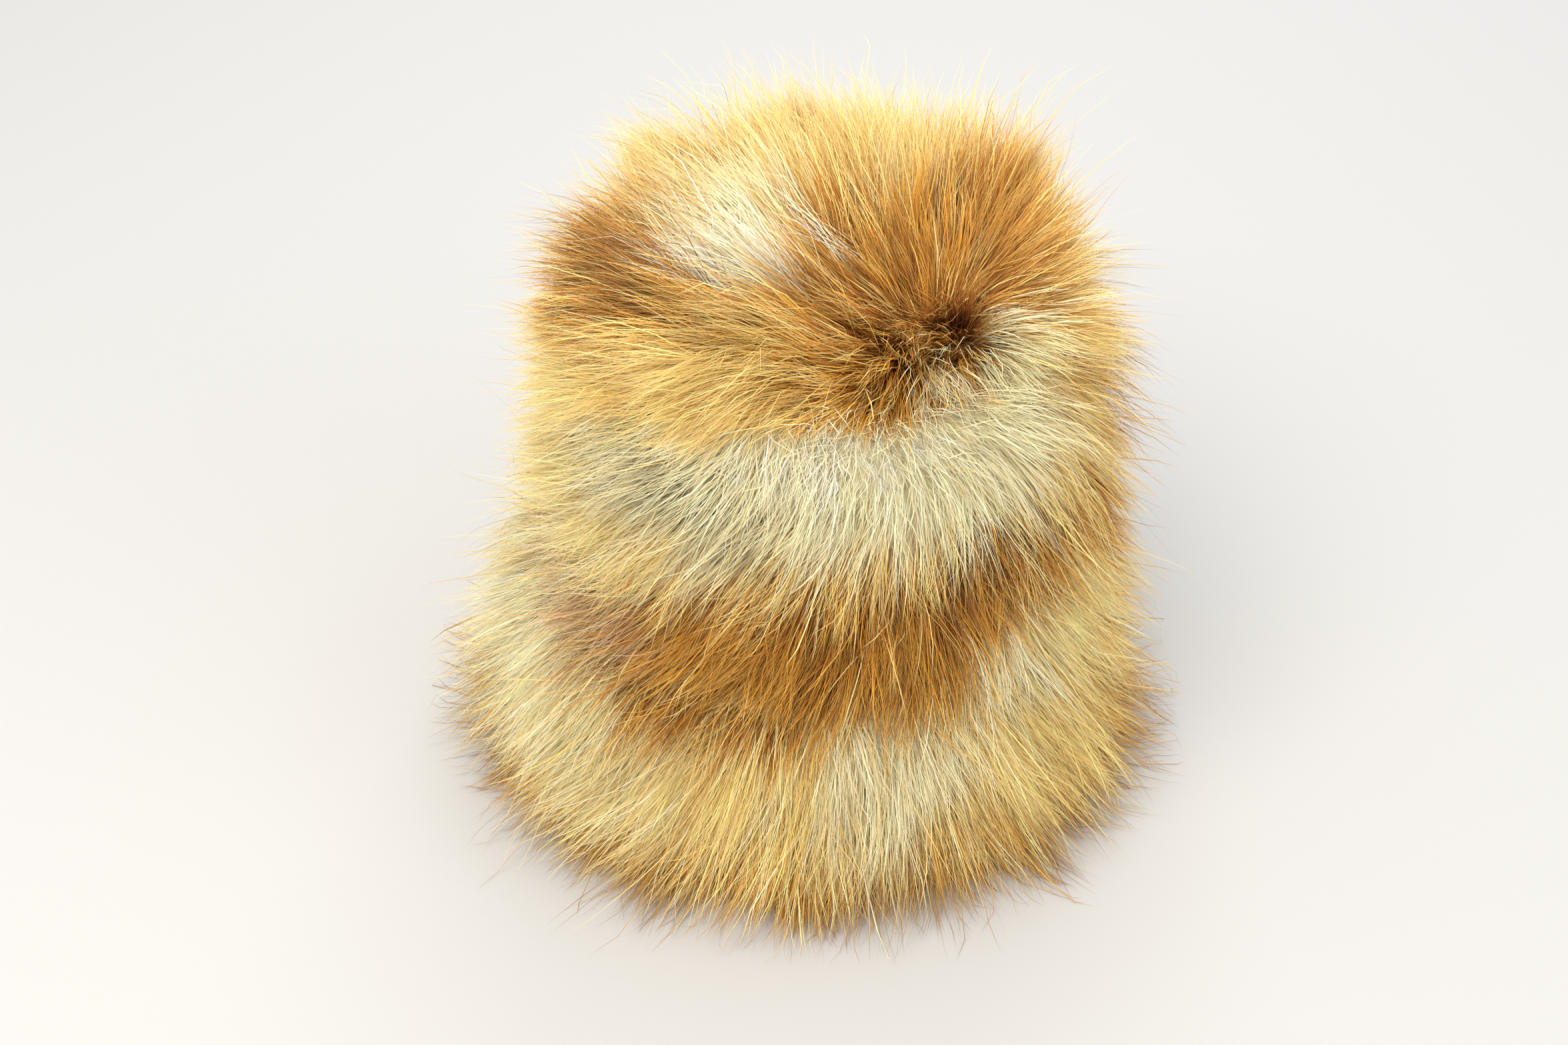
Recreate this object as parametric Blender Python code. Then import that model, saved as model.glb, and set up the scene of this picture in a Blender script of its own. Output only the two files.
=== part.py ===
"""Tall fox-fur hat standing on its rim: a hollow pelt crown, a turned-up cuff band and three fields of fur.

Metres, +Z up, floor at z = 0, the wearer's head goes in from below. -Y is the side shown in front.
The fur is a thick underfur backing with a pointed lock drawn out of every face of its outer side.
"""

import math
import random
from typing import NamedTuple

import bmesh
import bpy
from mathutils import Vector

# Crown wall: the leather side of the pelts with its interlining
HEAD_RADIUS = 0.094
PELT_WALL = 0.003
CROWN_HEIGHT = 0.211
TIP_RADIUS = 0.058
SHOULDER_RADIUS = 0.028
CROWN_LEAN = 0.038

# Turned-up cuff band, which stands higher on the wearer's right (-X)
CUFF_HEIGHT = 0.088
CUFF_SLANT = 0.009
CUFF_WALL = 0.004

# Whorl from which the fur of the tip parts, as shares of the way from the middle of the tip to its seam
WHORL_X = 0.43
WHORL_Y = -0.32
WHORL_UNDERFUR = 0.42

# Fur: the dense underfur, then how far the pointed locks rise over it and run along the lay
CROWN_UNDERFUR = 0.025
CROWN_LOCK_LIFT = 0.015
CROWN_LOCK_LENGTH = 0.032
CUFF_UNDERFUR = 0.031
CUFF_LOCK_LIFT = 0.021
CUFF_LOCK_LENGTH = 0.028

# Shares by which the crown's fur is deeper: standing up at the far rim, which dies away down this share of
# the side, and slumped towards +X at the side's foot
BACK_FULLNESS = 0.65
BACK_REACH = 0.6
FOOT_SLUMP = 0.24

# A lock narrows at its waist, and is never longer or higher than these multiples of the face it grows from
LOCK_WAIST = 0.80
LOCK_WAIST_LIFT = 0.62
LOCK_WAIST_RUN = 0.35
LOCK_REACH = 1.5
LOCK_RISE = 0.9
LOCK_UNEVENNESS = 0.18
LOCK_SEED = 7

# The rows of locks run round the hat in shallow waves
ROW_WAVE = 0.0045
ROW_WAVES = 3

# Clearances between neighbouring pieces
SEAT_GAP = 0.0003
CUFF_TOP_GAP = 0.0006

SPOKES = 40
PITCH = 2 * math.pi / SPOKES
SHOULDER_STEPS = 4
SEAM_TURN = math.pi / 4

SIDE_TOP_RADIUS = TIP_RADIUS + SHOULDER_RADIUS
SIDE_FOOT_RADIUS = HEAD_RADIUS + PELT_WALL
SHOULDER_Z = CROWN_HEIGHT - SHOULDER_RADIUS
SHOULDER_RUN = (SHOULDER_RADIUS + CROWN_UNDERFUR) * SEAM_TURN
TIP_SHARE = TIP_RADIUS / (TIP_RADIUS + SHOULDER_RUN)
SHOULDER_SHARE = SHOULDER_RUN / (SHOULDER_RUN + SHOULDER_Z - CUFF_HEIGHT)
BAND_LIFT = CUFF_WALL + 2 * SEAT_GAP


class Row(NamedTuple):
    """One ring of a fur field, with the locks that grow between it and the next ring."""

    share: float
    """Way along the field, from 0 at its upper edge to 1 at its lower edge."""
    underfur: float
    """Share of the underfur's depth."""
    swirl: float
    """Turn round the hat against the field's own edge, in spokes."""
    wave: float
    """Share of the wave that the rows run in."""
    lift: float
    """Share of the locks' lift."""
    length: float
    """Share of the locks' length."""


TIP_ROWS = (
    Row(0.16, 0.55, -2.0, 0.0, 0.60, 0.60),
    Row(0.36, 0.82, -1.5, 0.0, 0.90, 0.85),
    Row(0.58, 0.94, -1.0, 0.4, 1.00, 1.00),
    Row(0.79, 0.88, -0.5, 0.5, 0.90, 1.00),
    Row(1.00, 0.80, 0.0, 0.0, 0.00, 0.00),
)

SIDE_ROWS = (
    Row(0.00, 0.80, 0.0, 0.0, 0.80, 0.90),
    Row(0.18, 0.80, 0.5, 0.4, 0.90, 1.00),
    Row(0.36, 0.85, 1.0, 1.0, 1.00, 1.00),
    Row(0.53, 0.94, 1.5, -1.0, 1.00, 1.00),
    Row(0.70, 1.00, 2.0, 0.8, 1.00, 0.80),
    Row(0.86, 0.96, 2.5, 0.0, 0.85, 0.40),
    Row(1.00, 0.86, 3.0, 0.0, 0.00, 0.00),
)

CUFF_ROWS = (
    Row(0.00, 0.70, 0.0, 0.0, 0.75, 0.80),
    Row(0.26, 0.90, 0.5, -0.8, 1.00, 1.00),
    Row(0.52, 1.00, 1.0, 0.6, 1.00, 0.60),
    Row(0.77, 0.92, 1.5, 0.0, 1.00, 0.10),
    Row(1.00, 0.72, 2.0, 0.0, 0.00, 0.00),
)


def leaned(radius, angle, height):
    """Point at this bearing and height; the crown slumps a little towards +X as it rises."""
    return Vector((radius * math.cos(angle) + CROWN_LEAN * height, radius * math.sin(angle), height))


def cuff_top(angle):
    """Height of the cuff's folded edge at this angle round the hat."""
    return CUFF_HEIGHT - CUFF_SLANT * math.cos(angle)


def shoulder_point(turn, angle, lift):
    """Point over the rounded shoulder. turn runs from 0 at the tip's edge to 90 degrees at the side."""
    reach = SHOULDER_RADIUS + lift
    return leaned(TIP_RADIUS + reach * math.sin(turn), angle, SHOULDER_Z + reach * math.cos(turn))


def side_point(height, angle, lift):
    """Point over the tapering side at this height."""
    share = height / SHOULDER_Z
    return leaned(SIDE_FOOT_RADIUS + (SIDE_TOP_RADIUS - SIDE_FOOT_RADIUS) * share + lift, angle, height)


def tip_field(share, angle, lift):
    """Point of the tip's fur, on a ring that slides from the whorl out to the seam."""
    x = WHORL_X * (1 - share) + share * math.cos(angle)
    y = WHORL_Y * (1 - share) + share * math.sin(angle)
    reach = math.hypot(x, y)
    bearing = math.atan2(y, x)
    if reach < TIP_SHARE:
        return leaned(TIP_RADIUS * reach / TIP_SHARE, bearing, CROWN_HEIGHT + lift)
    return shoulder_point(SEAM_TURN * (reach - TIP_SHARE) / (1 - TIP_SHARE), bearing, lift)


def side_field(share, angle, lift):
    """Point of the side's fur, from the seam over the rest of the shoulder and down to the cuff."""
    if share < SHOULDER_SHARE:
        return shoulder_point(SEAM_TURN * (1 + share / SHOULDER_SHARE), angle, lift)
    down = (share - SHOULDER_SHARE) / (1 - SHOULDER_SHARE)
    foot = cuff_top(angle) + CUFF_TOP_GAP
    return side_point(SHOULDER_Z + (foot - SHOULDER_Z) * down, angle, lift)


def cuff_field(share, angle, lift):
    """Point of the cuff's fur, from the folded edge down to the floor."""
    return side_point(cuff_top(angle) * (1 - share), angle, BAND_LIFT + lift)


def tip_fullness(share, angle):
    """Factor on the depth of the tip's fur, growing from the whorl to the far rim."""
    return 1 + BACK_FULLNESS * share * max(0.0, math.sin(angle))


def side_fullness(share, angle):
    """Factor on the depth of the side's fur, which follows the tip's at the seam and slumps at its foot."""
    back = BACK_FULLNESS * max(0.0, 1 - share / BACK_REACH) * max(0.0, math.sin(angle))
    return 1 + back + FOOT_SLUMP * share * math.cos(angle)


def even_fullness(_share, _angle):
    """Factor for fur that is as deep all round."""
    return 1.0


def add_ring(bm, place, swirl=0.0):
    """Adds one ring of vertices from a function of the angle, clockwise as seen from above."""
    return [bm.verts.new(place(-(spoke + swirl) * PITCH)) for spoke in range(SPOKES)]


def join_rings(bm, upper, lower):
    """Bridges two rings with quads and returns them."""
    faces = []
    for spoke in range(SPOKES):
        after = (spoke + 1) % SPOKES
        faces.append(bm.faces.new((upper[spoke], lower[spoke], lower[after], upper[after])))
    return faces


def close_ring(bm, ring, centre):
    """Closes a ring with a fan of triangles round a centre point."""
    middle = bm.verts.new(centre)
    for spoke in range(SPOKES):
        bm.faces.new((ring[spoke], ring[(spoke + 1) % SPOKES], middle))


def close_edge(bm, outer, inner, swirl):
    """Joins a field's outer edge to the skin's edge, counting the skin's ring from the spoke it faces."""
    steps = round(swirl)
    join_rings(bm, outer, [inner[(spoke + steps) % SPOKES] for spoke in range(SPOKES)])


def above_floor(point):
    """The point itself, or the floor straight above it: fur that reaches the floor lies on it."""
    return Vector((point.x, point.y, max(point.z, 0.0)))


def draw_lock(bm, face, lift, length, chance):
    """Draws one pointed lock out of a face, rising from it and leaning along the lay of the fur."""
    upper_a, lower_a, lower_b, upper_b = (vert.co.copy() for vert in face.verts)
    run = ((lower_a + lower_b) - (upper_a + upper_b)) / 2
    lay = run.normalized()
    out = face.normal.copy()
    root = face.calc_center_median()
    lift = min(lift, run.length * LOCK_RISE) * (1 + LOCK_UNEVENNESS * chance.uniform(-1, 1))
    length = min(length, run.length * LOCK_REACH) * (1 + LOCK_UNEVENNESS * chance.uniform(-1, 1))
    waist = bmesh.ops.extrude_discrete_faces(bm, faces=[face])["faces"][0]
    shift = out * lift * LOCK_WAIST_LIFT + lay * length * LOCK_WAIST_RUN
    for vert in waist.verts:
        vert.co = above_floor(root + (vert.co - root) * LOCK_WAIST + shift)
    point = bmesh.ops.poke(bm, faces=[waist])["verts"][0]
    point.co = above_floor(root + out * lift + lay * length)


def fur_rings(bm, rows, field, underfur, fullness):
    """Adds the outer rings of a field and the faces between them."""
    rings = []
    for row in rows:

        def place(angle, row=row):
            point = field(row.share, angle, underfur * row.underfur * fullness(row.share, angle))
            point.z += ROW_WAVE * row.wave * math.sin(ROW_WAVES * angle)
            return point

        rings.append(add_ring(bm, place, row.swirl))
    return rings, [join_rings(bm, upper, lower) for upper, lower in zip(rings, rings[1:])]


def skin_rings(bm, places):
    """Adds the rings of a field's seat, just clear of the skin, and the faces between them."""
    rings = [add_ring(bm, place) for place in places]
    for upper, lower in zip(rings, rings[1:]):
        join_rings(bm, upper, lower)
    return rings


def grow_locks(bm, rows, faces, lift, length, chance):
    """Draws a lock out of every face of the rows."""
    bmesh.ops.recalc_face_normals(bm, faces=bm.faces)
    for row, row_faces in zip(rows, faces):
        for face in row_faces:
            draw_lock(bm, face, lift * row.lift, length * row.length, chance)


def finish_piece(bm, name, colour, roughness):
    """Turns the mesh into a named object with its own material."""
    bmesh.ops.recalc_face_normals(bm, faces=bm.faces)
    mesh = bpy.data.meshes.new(name)
    bm.to_mesh(mesh)
    bm.free()
    mesh.shade_smooth()
    mesh.set_sharp_from_angle(angle=math.radians(35))
    material = bpy.data.materials.new(name)
    material.use_nodes = True
    shader = material.node_tree.nodes["Principled BSDF"]
    shader.inputs["Base Color"].default_value = (*colour, 1)
    shader.inputs["Roughness"].default_value = roughness
    mesh.materials.append(material)
    piece = bpy.data.objects.new(name, mesh)
    bpy.context.collection.objects.link(piece)
    return piece


def shoulder_places(first, last, lift, seam_side=0):
    """Ring functions for the steps of the shoulder; one at the seam is set back from it by half its gap."""
    places = []
    for step in range(first, last + 1):
        turn = math.pi / 2 * step / SHOULDER_STEPS
        if abs(turn - SEAM_TURN) < 1e-9:
            turn += seam_side * SEAT_GAP / 2 / SHOULDER_RADIUS
        places.append(lambda angle, turn=turn: shoulder_point(turn, angle, lift))
    return places


def build_crown_wall():
    """The hollow crown: skin side of the tip and side panels, open below for the head."""
    bm = bmesh.new()
    edges = []
    for lift in (0, -PELT_WALL):
        places = shoulder_places(0, SHOULDER_STEPS, lift)
        places.append(lambda angle, lift=lift: side_point(0, angle, lift))
        rings = skin_rings(bm, places)
        close_ring(bm, rings[0], leaned(0, 0, CROWN_HEIGHT + lift))
        edges.append(rings[-1])
    join_rings(bm, *edges)
    return finish_piece(bm, "crown_wall", (0.62, 0.48, 0.33), 0.85)


def build_cuff_band():
    """The turned-up band round the foot of the crown, with its folded upper edge rounded."""
    bm = bmesh.new()
    fold = CUFF_WALL / 2
    # Columns: distance out from the band's inner side, and depth under the folded edge
    section = (
        (0.0, fold),
        (0.3 * fold, 0.3 * fold),
        (fold, 0.0),
        (CUFF_WALL - 0.3 * fold, 0.3 * fold),
        (CUFF_WALL, fold),
    )
    places = [lambda angle: side_point(0, angle, SEAT_GAP)]
    for out, depth in section:
        places.append(lambda angle, o=out, d=depth: side_point(cuff_top(angle) - d, angle, SEAT_GAP + o))
    places.append(lambda angle: side_point(0, angle, SEAT_GAP + CUFF_WALL))
    rings = skin_rings(bm, places)
    join_rings(bm, rings[-1], rings[0])
    return finish_piece(bm, "cuff_band", (0.66, 0.52, 0.37), 0.85)


def build_tip_fur(chance):
    """Fur of the round tip, parted at the whorl and running out over the shoulder to the seam."""
    bm = bmesh.new()

    def field(share, angle, lift):
        if share < 1:
            return tip_field(share, angle, lift)
        return shoulder_point(SEAM_TURN - SEAT_GAP / 2 / SHOULDER_RADIUS, angle, lift)

    outer, faces = fur_rings(bm, TIP_ROWS, field, CROWN_UNDERFUR, tip_fullness)
    inner = skin_rings(bm, shoulder_places(0, SHOULDER_STEPS // 2, SEAT_GAP, -1))
    close_edge(bm, outer[-1], inner[-1], 0)
    close_ring(bm, outer[0], tip_field(0, 0, CROWN_UNDERFUR * WHORL_UNDERFUR))
    close_ring(bm, inner[0], leaned(0, 0, CROWN_HEIGHT + SEAT_GAP))
    grow_locks(bm, TIP_ROWS, faces, CROWN_LOCK_LIFT, CROWN_LOCK_LENGTH, chance)
    return finish_piece(bm, "tip_fur", (0.62, 0.30, 0.08), 0.9)


def build_side_fur(chance):
    """Fur of the side panel, from the seam on the shoulder down to the cuff's folded edge."""
    bm = bmesh.new()

    def field(share, angle, lift):
        if share > 0:
            return side_field(share, angle, lift)
        return shoulder_point(SEAM_TURN + SEAT_GAP / 2 / SHOULDER_RADIUS, angle, lift)

    outer, faces = fur_rings(bm, SIDE_ROWS, field, CROWN_UNDERFUR, side_fullness)
    places = shoulder_places(SHOULDER_STEPS // 2, SHOULDER_STEPS, SEAT_GAP, 1)
    places.append(lambda angle: side_field(1, angle, SEAT_GAP))
    inner = skin_rings(bm, places)
    close_edge(bm, outer[0], inner[0], 0)
    close_edge(bm, outer[-1], inner[-1], SIDE_ROWS[-1].swirl)
    grow_locks(bm, SIDE_ROWS, faces, CROWN_LOCK_LIFT, CROWN_LOCK_LENGTH, chance)
    return finish_piece(bm, "side_fur", (0.80, 0.62, 0.33), 0.9)


def build_cuff_fur(chance):
    """Fur of the cuff, bulging over the crown's foot and standing on the floor at its hem."""
    bm = bmesh.new()
    outer, faces = fur_rings(bm, CUFF_ROWS, cuff_field, CUFF_UNDERFUR, even_fullness)
    inner = skin_rings(bm, [lambda angle, share=share: cuff_field(share, angle, 0) for share in (0, 1)])
    close_edge(bm, outer[0], inner[0], 0)
    close_edge(bm, outer[-1], inner[-1], CUFF_ROWS[-1].swirl)
    grow_locks(bm, CUFF_ROWS, faces, CUFF_LOCK_LIFT, CUFF_LOCK_LENGTH, chance)
    return finish_piece(bm, "cuff_fur", (0.78, 0.58, 0.30), 0.9)


def main():
    for old in list(bpy.data.objects):
        bpy.data.objects.remove(old, do_unlink=True)
    chance = random.Random(LOCK_SEED)
    build_crown_wall()
    build_cuff_band()
    build_tip_fur(chance)
    build_side_fur(chance)
    build_cuff_fur(chance)


main()
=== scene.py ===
"""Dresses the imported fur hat: leather on its walls, and single hairs of red fox on its tip, side and cuff.

Each fur field is a backing of matted underfur with three layers of hairs growing out of it. The cuff has a
fourth, which hangs over its hem. A hair is a narrow tapering strip. It takes its direction from the field's
combing and draws together with its neighbours in wisps. Its colours come from soft patches on a chart.
"""

import logging
import math
from dataclasses import dataclass
from enum import Enum
from typing import Callable, NamedTuple

import bpy
import numpy as np
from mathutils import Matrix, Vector, kdtree


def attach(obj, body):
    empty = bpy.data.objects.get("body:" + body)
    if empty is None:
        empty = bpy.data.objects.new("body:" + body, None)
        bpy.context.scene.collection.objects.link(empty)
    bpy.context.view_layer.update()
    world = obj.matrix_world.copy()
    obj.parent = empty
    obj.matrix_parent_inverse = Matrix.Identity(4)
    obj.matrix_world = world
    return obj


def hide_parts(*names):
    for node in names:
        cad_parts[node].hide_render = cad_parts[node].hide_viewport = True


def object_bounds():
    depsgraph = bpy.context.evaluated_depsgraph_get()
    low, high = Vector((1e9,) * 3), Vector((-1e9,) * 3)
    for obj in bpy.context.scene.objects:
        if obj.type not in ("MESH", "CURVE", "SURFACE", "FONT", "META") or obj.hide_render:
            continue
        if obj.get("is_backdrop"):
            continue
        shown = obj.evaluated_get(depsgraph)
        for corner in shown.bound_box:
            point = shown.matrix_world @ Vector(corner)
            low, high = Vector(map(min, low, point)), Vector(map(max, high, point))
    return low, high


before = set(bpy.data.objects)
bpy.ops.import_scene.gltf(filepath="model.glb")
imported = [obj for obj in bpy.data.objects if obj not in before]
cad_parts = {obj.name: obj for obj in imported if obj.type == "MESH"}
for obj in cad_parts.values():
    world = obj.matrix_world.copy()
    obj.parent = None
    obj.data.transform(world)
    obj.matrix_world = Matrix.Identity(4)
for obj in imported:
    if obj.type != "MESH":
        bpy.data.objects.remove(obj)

LOG = logging.getLogger("fur_hat")

BAKE_MAP = "OFBake"
FUR_COLOUR = "fur_colour"
STANDS_PROUD = 0.0095
STANDS_PROUD_SHARE = 0.03


def linear(code: str) -> tuple[float, float, float]:
    """Turns an sRGB hex colour such as #a0b0c0 into linear red, green and blue."""
    channels = [int(code[start : start + 2], 16) / 255 for start in (1, 3, 5)]
    return tuple(c / 12.92 if c <= 0.04045 else ((c + 0.055) / 1.055) ** 2.4 for c in channels)


def unit(vectors: np.ndarray) -> np.ndarray:
    """Scales each vector of an array to length 1."""
    return vectors / np.maximum(np.linalg.norm(vectors, axis=-1, keepdims=True), 1e-12)


def smooth_step(values: np.ndarray, low: float, high: float) -> np.ndarray:
    """Eases from 0 at low to 1 at high."""
    share = np.clip((values - low) / (high - low), 0, 1)
    return share * share * (3 - 2 * share)


def around(bearing: np.ndarray, table: tuple, column: str) -> np.ndarray:
    """Reads one column of a table round the hat.

    Args:
        bearing: Bearings in degrees.
        table: Rows that have a bearing field, in degrees.
        column: The field to read.

    Returns:
        The column's value at each bearing, straight between rows.
    """
    places = [row.bearing for row in table]
    return np.interp(bearing, places, [getattr(row, column) for row in table], period=360)


@dataclass(frozen=True)
class Ripples:
    """Smooth noise in space without seams, summed from a few crossed waves; its spread is about 1."""

    wavelength: float
    seed: int
    waves: int = 8

    def at(self, points: np.ndarray) -> np.ndarray:
        """Returns the noise at each point."""
        chance = np.random.default_rng(self.seed)
        heading = unit(chance.normal(size=(self.waves, 3)))
        lengths = self.wavelength * chance.uniform(0.7, 1.5, self.waves)
        phase = chance.uniform(0, 2 * math.pi, self.waves)
        turns = points @ (heading * (2 * math.pi / lengths)[:, None]).T + phase
        return np.sin(turns).sum(axis=-1) / math.sqrt(self.waves / 2)


@dataclass(frozen=True)
class Pelt:
    """Colours of one kind of fox hair, in sRGB hex, from the root to the tip, and how much its hairs vary. The
    root colours are the hair's own darker base, darkened further as painted shade for the depth of the fur.
    """

    root: str
    shaft: str
    band: str
    tip: str
    variety: float

    def stops(self) -> np.ndarray:
        """Returns the four colours in linear light."""
        return np.array([linear(code) for code in (self.root, self.shaft, self.band, self.tip)])


class Fox(Enum):
    """The kinds of hair on a red fox, as they show on this hat; the smoky kind is partly painted shade in the
    partings between wisps.
    """

    WHITE = Pelt("#efe6ca", "#fbf4dc", "#fdf8e4", "#fcf1ce", 0.05)
    CREAM = Pelt("#dfd2a8", "#f8ebbe", "#fbf0c8", "#fae8b0", 0.08)
    # Smoky: pale hair over near-black roots, laid in streaks where the partings between wisps lie in shade.
    # Partly its own colour, partly painted shade.
    SMOKY_AND_SHADE = Pelt("#40352a", "#857656", "#e6daac", "#f6eabc", 0.16)
    STRAW = Pelt("#b29a66", "#ecd490", "#f4dc9a", "#f6d888", 0.12)
    GOLD = Pelt("#a87c38", "#ecc26c", "#f5cf7a", "#fbde98", 0.14)
    TIPPED = Pelt("#b89c64", "#e4c478", "#dba84c", "#98601c", 0.16)
    TAN = Pelt("#68462a", "#ac7e4c", "#c69a68", "#f0dcb6", 0.20)
    ORANGE = Pelt("#522c06", "#a8681a", "#ca8a2c", "#f2c266", 0.22)
    BROWN = Pelt("#3a1d02", "#8a5008", "#bc7a14", "#f0bc56", 0.26)
    DARK = Pelt("#1c0d01", "#4e2903", "#8c5208", "#dca044", 0.30)


class Spot(NamedTuple):
    """A soft round spot on a field's chart, where the hair lies differently."""

    across: float
    along: float
    half_across: float
    half_along: float

    def share(self, across: np.ndarray, along: np.ndarray) -> np.ndarray:
        """How far inside the spot each place is: 1 at its middle, 0 far from it."""
        reach = ((across - self.across) / self.half_across) ** 2
        return np.exp(-reach - ((along - self.along) / self.half_along) ** 2)


class Patch(NamedTuple):
    """A soft-edged patch of one kind of hair on a field's chart."""

    kind: Fox
    across: float
    along: float
    half_across: float
    half_along: float
    strength: float


@dataclass(frozen=True)
class Chart:
    """Which kind of hair grows where: a base mix and the patches laid over it.

    across is a bearing in degrees, or millimetres along X where bearings is false; along is millimetres up
    the hat, or along Y.
    """

    base: tuple[tuple[Fox, float], ...]
    patches: tuple[Patch, ...]
    bearings: bool
    sharpness: float = 1.35
    fraying: float = 0.55
    fray_size: float = 0.018
    fray_seed: int = 40
    wisp_chance: float = 0.64
    hair_chance: float = 0.34

    def pick(
        self, across, along, points: np.ndarray, wisp: np.ndarray, chance, extra: tuple = ()
    ) -> np.ndarray:
        """Picks the kind of each hair, mostly the same one throughout a wisp.

        Args:
            across: Chart place of each hair, first column.
            along: Chart place of each hair, second column.
            points: The hairs' places in space, for the noise that frays the patches' edges.
            wisp: The number of each hair's wisp.
            chance: The random generator.
            extra: Kinds and shares that are mixed in everywhere.

        Returns:
            The index of each hair's kind in Fox.
        """
        kinds = list(Fox)
        weight = np.full((len(across), len(kinds)), 1e-4)
        for kind, share in (*self.base, *extra):
            weight[:, kinds.index(kind)] += share
        for patch in self.patches:
            offset = across - patch.across
            if self.bearings:
                offset = (offset + 180) % 360 - 180
            reach = (offset / patch.half_across) ** 2 + ((along - patch.along) / patch.half_along) ** 2
            weight[:, kinds.index(patch.kind)] += patch.strength * np.exp(-(reach**1.5))
        score = self.sharpness * np.log(weight)
        for index in range(len(kinds)):
            score[:, index] += self.fraying * Ripples(self.fray_size, self.fray_seed + index).at(points)
        score += self.wisp_chance * chance.gumbel(size=(wisp.max() + 1, len(kinds)))[wisp]
        score += self.hair_chance * chance.gumbel(size=score.shape)
        return score.argmax(axis=1)


class Comb(NamedTuple):
    """How the hair lies at one bearing.

    turn is its angle in degrees from straight down the field, clockwise seen from above. rise is the angle in
    degrees that its tip stands off the field. length is in metres.
    """

    bearing: float
    turn: float
    rise: float
    length: float


@dataclass(frozen=True)
class Lie:
    """The lie of each hair: turn and rises in radians, length in metres.

    wool runs from -1, where hairs lie slick in tight wisps, to 1, where they are loose wool.
    """

    turn: np.ndarray
    root_rise: np.ndarray
    tip_rise: np.ndarray
    length: np.ndarray
    wool: np.ndarray


@dataclass(frozen=True)
class Skin:
    """The crown's and cuff's skin, with the sizes of the CAD solids, in metres."""

    foot_radius: float = 0.097
    height: float = 0.211
    tip_radius: float = 0.058
    shoulder_radius: float = 0.028
    lean: float = 0.038
    cuff_height: float = 0.088
    cuff_slant: float = 0.009
    cuff_lift: float = 0.0046
    seat_gap: float = 0.0003
    crown_underfur: float = 0.025
    cuff_underfur: float = 0.031
    back_fullness: float = 0.65
    back_reach: float = 0.6
    foot_slump: float = 0.24

    @property
    def shoulder_z(self) -> float:
        """Height at which the shoulder meets the side."""
        return self.height - self.shoulder_radius

    @property
    def shoulder_run(self) -> float:
        """Way over half of the shoulder, along the underfur's outer side."""
        return (self.shoulder_radius + self.crown_underfur) * math.pi / 4

    def leaned(self, radius, angle, height) -> np.ndarray:
        """Points at these bearings and heights, with the crown's lean."""
        across = radius * np.cos(angle) + self.lean * height
        return np.stack(np.broadcast_arrays(across, radius * np.sin(angle), height), axis=-1)

    def cuff_top(self, angle) -> np.ndarray:
        """Height of the cuff's folded edge."""
        return self.cuff_height - self.cuff_slant * np.cos(angle)

    def shoulder(self, turn, angle, lift) -> np.ndarray:
        """Points over the rounded shoulder, turn being 0 at the tip and a quarter turn at the side."""
        reach = self.shoulder_radius + lift
        height = self.shoulder_z + reach * np.cos(turn)
        return self.leaned(self.tip_radius + reach * np.sin(turn), angle, height)

    def side(self, height, angle, lift) -> np.ndarray:
        """Points over the tapering side."""
        share = height / self.shoulder_z
        top_radius = self.tip_radius + self.shoulder_radius
        return self.leaned(self.foot_radius + (top_radius - self.foot_radius) * share + lift, angle, height)


class Depth(NamedTuple):
    """How deep the underfur is, as a share of its full depth, at one share of the way along a field."""

    share: float
    underfur: float


class FurField:
    """A stretch of pelt: where it lies, how its hair is combed, and how it is coloured.

    A place on it is two numbers, u and v, whose meaning is each field's own.
    """

    node = ""
    slot = ""
    area = 0.0
    """Rough area of its outer side, in square metres."""
    underfur = 0.0
    depths: tuple[Depth, ...]
    chart: Chart

    def __init__(self, skin: Skin) -> None:
        self.skin = skin

    def underfur_at(self, share: np.ndarray) -> np.ndarray:
        """Depth of the underfur along the field, before it is fuller on one side."""
        places = [row.share for row in self.depths]
        return self.underfur * np.interp(share, places, [row.underfur for row in self.depths])

    def point(self, u, v, lift) -> np.ndarray:
        """Points at this lift over the skin."""
        raise NotImplementedError

    def downstream(self, u, v) -> tuple[np.ndarray, np.ndarray]:
        """The way that the hair would run uncombed, as steps of u and v."""
        raise NotImplementedError

    def scatter(self, count: int, chance) -> tuple[np.ndarray, np.ndarray]:
        """Picks places spread evenly over the field."""
        raise NotImplementedError

    def depth(self, u, v) -> np.ndarray:
        """Depth of the underfur at each place."""
        raise NotImplementedError

    def combing(self, u, v, points: np.ndarray) -> Lie:
        """The lie of the hair at each place."""
        raise NotImplementedError

    def place_on_chart(self, points: np.ndarray) -> tuple[np.ndarray, np.ndarray]:
        """Chart place of points in space."""
        raise NotImplementedError

    def profile(self, steps: int) -> list[Callable[[np.ndarray], tuple[np.ndarray, np.ndarray]]]:
        """Functions of the bearing that give u and v along the rings of the backing."""
        raise NotImplementedError

    def axes(self, u, v, lift) -> tuple[np.ndarray, np.ndarray, np.ndarray, np.ndarray]:
        """Returns each place's point, outward direction, downstream direction and the direction round."""
        step = 1e-3
        du, dv = self.downstream(u, v)
        origin = self.point(u, v, lift)
        out = unit(self.point(u, v, lift + step) - origin)
        down = self.point(u + step * du, v + step * dv, lift) - origin
        down = unit(down - out * (down * out).sum(axis=-1, keepdims=True))
        return origin, out, down, np.cross(down, out)


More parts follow.
